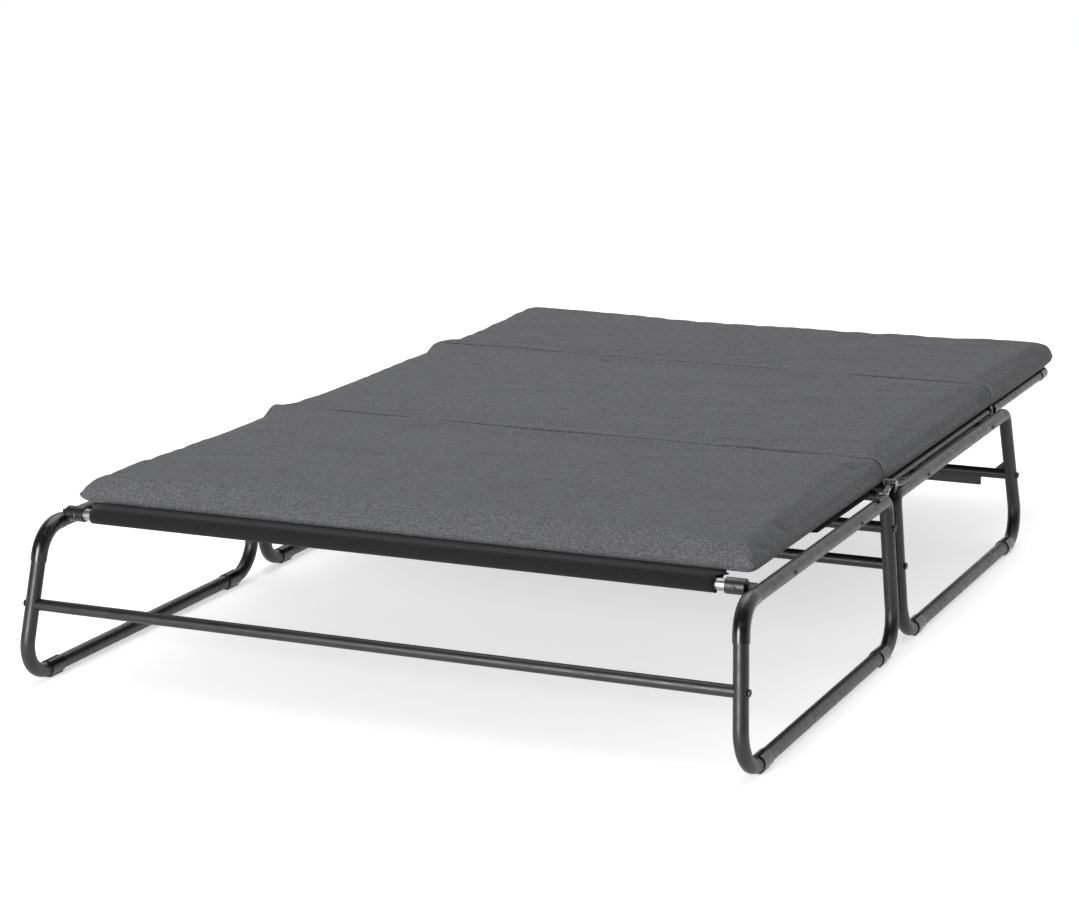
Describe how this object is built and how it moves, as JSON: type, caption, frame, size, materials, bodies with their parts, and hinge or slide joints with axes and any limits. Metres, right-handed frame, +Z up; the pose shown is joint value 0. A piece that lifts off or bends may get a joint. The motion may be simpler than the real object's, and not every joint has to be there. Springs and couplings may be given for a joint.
{
  "type": "folding sofa bed",
  "caption": "Low folding sofa bed: black tube frame on rounded leg hoops, cloth slings and a thin dark grey three-part mattress, opened out flat as a bed.",
  "frame": {"origin": "on the floor under the middle of the bed's outline", "axes": "+Y from the foot end to the head end, +X to the right seen from the foot end, +Z up"},
  "size_m": [1.309, 2.0126, 0.3397],
  "materials": {
    "powder_coat": "fine satin black powder coat",
    "black_plastic": "glossy moulded black",
    "bare_steel": "zinc plated steel",
    "black_hardware": "black zinc plate",
    "sling_cloth": "tight black canvas",
    "mattress_cloth": "dark grey melange weave",
    "foam": "open cell foam"
  },
  "bodies": {
    "middle_section": {"rear_hoop_l": "powder_coat", "rear_hoop_r": "powder_coat", "rear_side_rail_l": "powder_coat", "rear_side_rail_r": "powder_coat", "middle_low_bar": "powder_coat", "rear_low_bar": "powder_coat", "rear_bar_strip": "powder_coat", "rear_bar_gussets": "powder_coat", "middle_front_tube": "powder_coat", "middle_rear_tube": "powder_coat", "middle_rail_l": "powder_coat", "middle_rail_r": "powder_coat", "rail_spacers": "powder_coat", "rear_hinge_leaf_l": "powder_coat", "rear_hinge_leaf_r": "powder_coat", "head_hinge_base_l": "powder_coat", "head_hinge_base_r": "powder_coat", "rear_glides": "black_plastic", "rear_bar_bolts": "black_hardware", "rear_rail_screws": "black_hardware", "mid_hinge_pins": "bare_steel", "head_hinge_pins": "bare_steel", "middle_sling": "sling_cloth"},
    "front_section": {"front_hoop_l": "powder_coat", "front_hoop_r": "powder_coat", "front_side_rail_l": "powder_coat", "front_side_rail_r": "powder_coat", "corner_cover_l": "black_plastic", "corner_cover_r": "black_plastic", "front_glides": "black_plastic", "foot_tube": "bare_steel", "foot_tube_brackets": "powder_coat", "foot_tube_screws": "black_hardware", "front_low_bar": "powder_coat", "front_high_bar": "powder_coat", "front_bar_bolts": "black_hardware", "front_sling_tube": "powder_coat", "front_sling": "sling_cloth", "front_rail_screws": "black_hardware", "front_hinge_leaf_l": "powder_coat", "front_hinge_leaf_r": "powder_coat"},
    "seat_pad": {"mattress_cover_middle": "mattress_cloth", "mattress_core_middle": "foam"},
    "foot_pad": {"mattress_cover_front": "mattress_cloth", "mattress_core_front": "foam"},
    "head_section": {"head_rail_l": "powder_coat", "head_rail_r": "powder_coat", "head_front_tube": "powder_coat", "head_end_tube": "powder_coat", "head_sling": "sling_cloth", "head_hinge_arm_l": "powder_coat", "head_hinge_arm_r": "powder_coat", "head_corner_caps": "black_plastic", "mattress_cover_head": "mattress_cloth", "mattress_core_head": "foam"}
  },
  "joints": [
    {"name": "mid_fold", "type": "hinge", "parent": "middle_section", "child": "front_section", "pos_m": [0, -0.20169, 0.296], "axis": [-1, 0, 0], "range_deg": [0, 180], "deforming": ["mattress_cover_middle", "mattress_core_middle", "mattress_cover_front", "mattress_core_front"]},
    {"name": "mattress_lift", "type": "hinge", "parent": "middle_section", "child": "seat_pad", "pos_m": [0, 0.89331, 0.64], "axis": [-1, 0, 0], "range_deg": [0, 4.9]},
    {"name": "mattress_fold", "type": "hinge", "parent": "seat_pad", "child": "foot_pad", "pos_m": [0, -0.20169, 0.3403], "axis": [-1, 0, 0], "range_deg": [0, 180]},
    {"name": "head_fold", "type": "hinge", "parent": "middle_section", "child": "head_section", "pos_m": [0, 0.52131, 0.278], "axis": [1, 0, 0], "range_deg": [0, 78.2], "deforming": ["mattress_cover_head", "mattress_core_head"]}
  ],
  "couplings": [
    {"joint": "mattress_lift", "follows": "mid_fold", "ratio": 0.027221},
    {"joint": "mattress_fold", "follows": "mid_fold", "ratio": 1}
  ]
}
